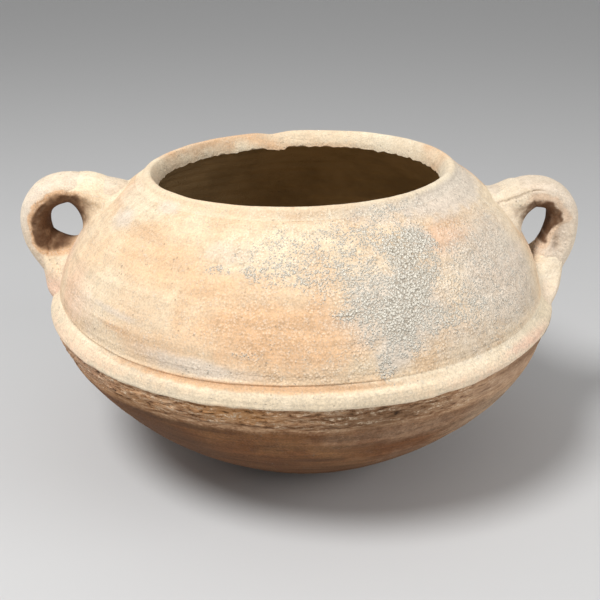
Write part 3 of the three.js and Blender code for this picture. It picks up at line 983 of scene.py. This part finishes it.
def sandy_grain(vector, count):
    """Fine tempered clay: sand grains, pale specks and sparse pinholes."""
    specks = noise(vector, count * 0.8, 3, 0.75, 0.4).between(0.55, 0.68)
    more_here = noise(vector, 45, 3).between(0.3, 0.7, 0.35, 1.0)
    holes = cell_distance(vector, count * 0.4).between(0.26, 0.12)
    only_here = noise(vector, 90, 2).between(0.56, 0.66)
    return {"Grain": noise(vector, count, 2, 0.6), "Pale specks": specks * more_here,
            "Pinholes": holes * only_here}


def weathered_grit(vector, amount):
    """Weathered clay from which sand stands out: grains that stand proud, paler partly as painted
    highlight, the hollows between them, darkened as painted shade, and the height of both, by an
    amount. Some places have more of them than others."""
    amount = amount * noise(vector, 150, 3, 0.6).between(0.36, 0.64, 0.25, 1.0)
    reach = grain_distance(vector, 760)
    return {"Pale lit grains": reach.between(0.46, 0.26) * amount,
            "Shaded hollows": reach.between(0.66, 0.82) * amount,
            "Height": reach.between(0.9, 0.2) * amount}


def turning_lines(vector):
    """Streaks left by turning: noise drawn out round the pot, in a broad and a fine size."""
    return {"Broad": noise(drawn_round(vector, 0.10), 170, 3, 0.6),
            "Fine": noise(drawn_round(vector, 0.05), 620, 2, 0.6)}


def lime_crust(vector, amount):
    """Rough lime crust of grown-together grains: its mask frays into single grains at the edges.
    Where it is thick, the crevices between the grains get painted shade; the grains' tops get
    painted highlight, and thin lime is whiter all over."""
    fine = noise(vector, 1500, 2, 0.6)
    reach = grain_distance(vector, 820, 0.8) + (fine - 0.5) * 0.6
    fray = (noise(vector, 230, 3, 0.65) - 0.5) * 1.5 + (0.5 - reach)
    some = amount.math("MULTIPLY", amount, 4.0, clamp=True)
    thick = amount.between(0.4, 0.9, 0.12, 1.0)
    lit_tops = reach.between(0.55, 0.35)
    return {"Mask": (amount + fray).between(0.25, 1.0) * some,
            "Height": reach.between(0.95, 0.15),
            "Crevices": reach.between(0.60, 0.78) * thick,
            "Lit tops and thin lime": lit_tops.math("MAXIMUM", lit_tops, 1.0 - thick)}


grain_group = node_group("sandy_grain", ["Vector", "Grains per metre"], sandy_grain)
grit_group = node_group("weathered_grit", ["Vector", "Amount"], weathered_grit)
lines_group = node_group("turning_lines", ["Vector"], turning_lines)
crust_group = node_group("lime_crust", ["Vector", "Amount"], lime_crust)


# Clay colours, as they look in plain light, apart from those noted as painted highlight or shade.
buff_clay = (0.78, 0.555, 0.35, 1)
light_buff = (0.86, 0.68, 0.47, 1)
orange_clay = (0.76, 0.46, 0.25, 1)
pink_clay = (0.82, 0.53, 0.39, 1)
grey_film = (0.70, 0.615, 0.52, 1)
cream = (0.90, 0.77, 0.565, 1)
crest_cream = (0.87, 0.715, 0.51, 1)
pale_crest = (0.89, 0.745, 0.55, 1)
handle_buff = (0.76, 0.60, 0.435, 1)
handle_cream = (0.79, 0.665, 0.53, 1)
# lime_white is painted highlight on the crust's grain tops and the colour of thin lime; lime_shadow
# is painted shade in its crevices and in pinholes.
lime_white = (0.96, 0.91, 0.79, 1)
lime_body = (0.83, 0.765, 0.635, 1)
lime_shadow = (0.22, 0.19, 0.145, 1)
speck_white = (0.93, 0.86, 0.74, 1)
# The bowl's browns are its brown clay, darkened further as painted shade on the lower bowl.
red_brown = (0.185, 0.071, 0.023, 1)
warm_brown = (0.255, 0.121, 0.047, 1)
strip_brown = (0.34, 0.165, 0.075, 1)
strip_tan = (0.64, 0.39, 0.22, 1)
strip_orange = (0.56, 0.27, 0.095, 1)
strip_pink = (0.56, 0.335, 0.215, 1)
strip_dark = (0.17, 0.088, 0.042, 1)
# dark_brown: dark stains, and painted shade in the groove, on the lip's inner face, round the
# bowl's base, beside the finger holes and along the crack.
dark_brown = (0.12, 0.058, 0.028, 1)
buff_brown = (0.44, 0.31, 0.205, 1)
# Painted shade in the flaked strip's cracks, and painted highlight on its crumbs.
crack_shade = (0.04, 0.02, 0.01, 1)
lit_crumb_buff = (0.86, 0.69, 0.50, 1)
inner_brown = (0.46, 0.325, 0.17, 1)
inner_dark = (0.32, 0.225, 0.115, 1)

# Tints over the clay, in the order in which they are laid: colour and strength. Most are stains;
# the dark tint also lays painted shade, and the buff tint also lightens the bowl on its lower
# right.
stain_tints = {
    "orange": (orange_clay, 0.85), "pink": (pink_clay, 0.8), "pale": (cream, 0.75),
    "grey": (grey_film, 0.8), "dark": (dark_brown, 0.98), "buff": (buff_brown, 0.8)}


def clay_finish(name, ground, lighter, grain_share=0.5, line_share=0.25, fleck_share=0.5,
                strip=False, rough=0.88):
    """A fired clay finish: ground colour with streaks, stains and grain, lime over it, and a relief
    of grain, lines and crust; grains, crust and pinholes get painted highlights and shade. strip
    adds the flaked brown layers under the ridge."""
    material = bpy.data.materials.new(name)
    material.use_nodes = True
    tree = material.node_tree
    tree.nodes.clear()
    vector = add(tree, "ShaderNodeTexCoord", {}, "Object")

    def mark(key):
        return add(tree, "ShaderNodeAttribute", {}, "Fac", attribute_name=key)

    grain = placed_group(tree, grain_group, {"Vector": vector, "Grains per metre": 950.0})
    lines = placed_group(tree, lines_group, {"Vector": vector})
    grit = placed_group(tree, grit_group, {"Vector": vector, "Amount": mark("rough")})
    lime = placed_group(tree, crust_group, {"Vector": vector, "Amount": mark("lime")})
    cloud = noise(vector, 26, 4, 0.6)
    fleck = noise(vector, 210, 3, 0.6)

    if strip:
        below, over = mark("bowl_ground"), mark("shoulder_ground")
        ground = mix(below, mix(over, ground, buff_clay), red_brown)
        lighter = mix(below, mix(over, lighter, light_buff), warm_brown)
    colour = mix(cloud.between(0.36, 0.64), ground, lighter)
    for key, (tint, strength) in stain_tints.items():
        broken = mark(key) + (fleck - 0.5) * 0.5
        share = broken.between(0.05, 0.95) * strength * mark(key).between(0.0, 0.12)
        colour = mix(share, colour, tint)

    tone = lines["Broad"].between(0.3, 0.7, -1.0, 1.0) * (0.40 * line_share)
    for wire, strength in ((lines["Fine"], 0.30 * line_share), (grain["Grain"], 0.22 * grain_share),
                           (fleck, 0.16 * grain_share)):
        tone = tone + wire.between(0.25, 0.75, -1.0, 1.0) * strength
    # Grains that stand proud are lighter and the hollows between them darker: painted highlight and
    # shade.
    tone = tone + (grit["Pale lit grains"] - grit["Shaded hollows"]) * 0.2 + 1.0
    shade = add(tree, "ShaderNodeCombineColor", {0: tone, 1: tone, 2: tone})
    colour = add(tree, "ShaderNodeMix", {"Factor": 1.0, 6: colour, 7: shade}, 2,
                 data_type="RGBA", blend_type="MULTIPLY")

    light_ground = mark("dark").between(0.7, 0.2)
    # Pale specks, and grains that stand proud, whose paleness is partly painted highlight.
    for wire in (grain["Pale specks"], grit["Pale lit grains"]):
        colour = mix(wire * light_ground * fleck_share, colour, speck_white)
    # The crust: painted highlight on its grain tops, painted shade in its crevices.
    crusted = mix(lime["Lit tops and thin lime"], lime_body, lime_white)
    crusted = mix(lime["Crevices"] * 0.85, crusted, lime_shadow)
    colour = mix(lime["Mask"] * 0.85, colour, crusted)
    # Painted shade in the pinholes.
    colour = mix(grain["Pinholes"] * (0.6 * grain_share), colour, lime_shadow)

    height = (grain["Grain"] + grain["Pale specks"]) * (0.5 * grain_share)
    height = height + lines["Fine"] * (0.7 * line_share) + lines["Broad"] * line_share
    height = height - grain["Pinholes"] * 0.5 + grit["Height"] * 0.8
    height = height + lime["Height"] * (lime["Mask"] * lime["Mask"] * 2.2)
    if strip:
        colour, height = flaked_strip(vector, mark, colour, height)
    colour = mix(mark("inside"), colour, mix(cloud.between(0.35, 0.7), inner_brown, inner_dark))
    bump = add(tree, "ShaderNodeBump", {"Strength": 0.8, "Distance": 0.0007, "Height": height})
    shader = add(tree, "ShaderNodeBsdfPrincipled", {
        "Base Color": colour, "Normal": bump, "Specular IOR Level": 0.25,
        "Roughness": fleck.between(0.3, 0.7, rough - 0.05, rough + 0.06)})
    plug(tree, tree.nodes.new("ShaderNodeOutputMaterial").inputs[0], shader)
    return material


def flaked_strip(vector, mark, colour, height):
    """Brown clay under the ridge's crest, flaked into shelves, with painted shade in the cracks and
    the hollows and painted highlight on the crumbs.
    """
    shelves = noise(drawn_round(vector, 0.22), 600, 4, 0.7, 0.5)
    patchy = noise(drawn_round(vector, 0.25), 280, 3, 0.6)
    crumbs = noise(vector, 640, 3, 0.7)
    brown = mix(shelves.between(0.38, 0.60), strip_brown, strip_tan)
    for key, tint, strength in (("orange", strip_orange, 0.75), ("pink", strip_pink, 0.75),
                                ("buff", buff_brown, 0.6), ("dark", strip_dark, 0.7)):
        brown = mix(mark(key) * strength, brown, tint)
    flaked = mark("flaked")
    hollows = patchy.between(0.42, 0.30) * flaked.between(0.0, 1.0, 0.25, 1.0)
    brown = mix(hollows, brown, strip_dark)
    brown = mix(shelves.between(0.44, 0.33) * flaked * 0.9, brown, crack_shade)
    lit_ledges = shelves.between(0.46, 0.60) * crumbs.between(0.42, 0.58) * patchy.between(0.40, 0.60)
    brown = mix(lit_ledges * flaked, brown, lit_crumb_buff)
    underside = mark("underside")
    share = (underside + (crumbs - 0.5) * 0.8).between(0.15, 0.8) * underside.between(0.0, 0.15)
    return mix(share, colour, brown), height + (shelves + crumbs) * (flaked * 2.2)


# Assembling

def dress(piece, node, material):
    piece.data.materials.append(material)
    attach(piece, "root")
    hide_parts(node)


# Name, ground colour, lighter colour, and the shares of grain, turning lines and flecks
shoulder_finish = clay_finish("buff_shoulder_clay", buff_clay, light_buff, 0.6, 0.18)
bowl_finish = clay_finish("brown_bowl_clay", red_brown, warm_brown, 0.9, 0.5, 0.05, strip=True)
ridge_finish = clay_finish("cream_ridge_clay", crest_cream, pale_crest, 0.65, 0.2, 0.45, strip=True)
lip_finish = clay_finish("worn_lip_clay", light_buff, cream, 0.5, 0.12)
handle_finish = clay_finish("scraped_handle_clay", handle_buff, handle_cream, 0.5, 0.08)
luting_finish = clay_finish("smeared_root_clay", light_buff, cream, 0.5, 0.10)
inner_finish = clay_finish("dark_inner_clay", inner_brown, inner_dark, 0.5, 0.3, 0)

for build, node, slot, finish in (
        (lower_bowl, "lower_bowl", "bowl_clay", bowl_finish),
        (shoulder, "shoulder_wall", "shoulder_clay", shoulder_finish),
        (ridge, "carination_band", "ridge_clay", ridge_finish),
        (lip, "rim_lip", "lip_clay", lip_finish),
        (seam_roll, "inner_seam_coil", "inner_clay", inner_finish)):
    dress(build(), node, finish)

body_face = BodyFace()
for word, strap, foot_cover, foot_spread in (
        ("left", left_strap, 25, (18, 9, 11)), ("right", right_strap, 9, (9, 15, 17))):
    node = f"handle_{word}"
    inwards = -strap.at(np.array([root_depth]))[1][0]
    downwards = unit(np.array([-0.80 * strap.side, 0, -0.60]))
    foot_start = strap.length - foot_depth
    dress(strap_piece(f"{word}_strap", strap, body_face, inwards, downwards),
          node, handle_finish)
    dress(luting_piece(f"{word}_upper_smear", strap, body_face, root_depth, inwards,
                       (17, 10, 7), (18, 6, 2), (0, 0, 0)),
          f"{node}_upper_luting", luting_finish)
    dress(luting_piece(f"{word}_lower_smear", strap, body_face, foot_start, downwards,
                       (foot_cover, 10, 4), foot_spread, (0, 0.5, 6)),
          f"{node}_lower_luting", luting_finish)


# Floor, light and camera

def stage_floor():
    mesh = bpy.data.meshes.new("floor")
    side = 6.0              # metres from the middle to each edge
    mesh.from_pydata([(-side, -side, 0), (side, -side, 0), (side, side, 0), (-side, side, 0)],
                     [], [(0, 1, 2, 3)])
    material = bpy.data.materials.new("pale_floor")
    material.use_nodes = True
    shader = material.node_tree.nodes["Principled BSDF"]
    shader.inputs["Base Color"].default_value = (0.62, 0.62, 0.62, 1)
    shader.inputs["Roughness"].default_value = 0.9
    mesh.materials.append(material)
    floor = placed("floor", mesh)


def soft_lamp(name, place, aim, size, power):
    lamp = bpy.data.lights.new(name, "AREA")
    lamp.shape = "DISK"
    lamp.size = size
    lamp.energy = power
    holder = placed(name, lamp)
    holder.location = place
    holder.rotation_euler = (Vector(aim) - Vector(place)).to_track_quat("-Z", "Y").to_euler()


ambient = 0.32            # how strongly the sky lights the scene; the camera sees it as 1


def studio():
    """One soft lamp above and in front, a weak one from the side, and an even sky that the
    camera, mirrors and glass see as white."""
    soft_lamp("key_lamp", (-0.55, -0.65, 1.35), (0, 0, 0.1), 0.55, 19.5)
    soft_lamp("side_lamp", (1.2, -0.5, 0.65), (0, 0, 0.1), 0.8, 5.8)
    world = bpy.data.worlds.new("studio")
    bpy.context.scene.world = world
    world.use_nodes = True
    tree = world.node_tree
    tree.nodes.clear()
    camera, mirror, glass = [add(tree, "ShaderNodeLightPath", {}, name) for name in (
        "Is Camera Ray", "Is Glossy Ray", "Is Transmission Ray")]
    seen = camera.math("MAXIMUM", camera, mirror.math("MAXIMUM", mirror, glass))
    sky = add(tree, "ShaderNodeBackground", {
        "Color": (1, 1, 1, 1), "Strength": seen * (1 - ambient) + ambient})
    plug(tree, tree.nodes.new("ShaderNodeOutputWorld").inputs[0], sky)


def photograph_camera():
    """The camera that the fitted perspective gives: 0.58 m in front of the axis, looking down."""
    pitch, yaw, roll = 0.385, -0.001, 0.003
    level = math.cos(pitch)
    forward = Vector((math.sin(yaw) * level, math.cos(yaw) * level, -math.sin(pitch)))
    right = forward.cross(Vector((0, 0, 1))).normalized()
    up = right.cross(forward)
    turned_right = right * math.cos(roll) + up * math.sin(roll)
    turned_up = up * math.cos(roll) - right * math.sin(roll)
    camera = placed("camera", bpy.data.cameras.new("camera"))
    turn = Matrix((turned_right, turned_up, -forward)).transposed().to_4x4()
    camera.matrix_world = Matrix.Translation((0, -0.580, 0.3243)) @ turn
    camera.data.sensor_width = 36
    camera.data.lens = 60.93
    bpy.context.scene.camera = camera


stage_floor()
studio()
photograph_camera()
bpy.context.scene.view_settings.view_transform = "Standard"
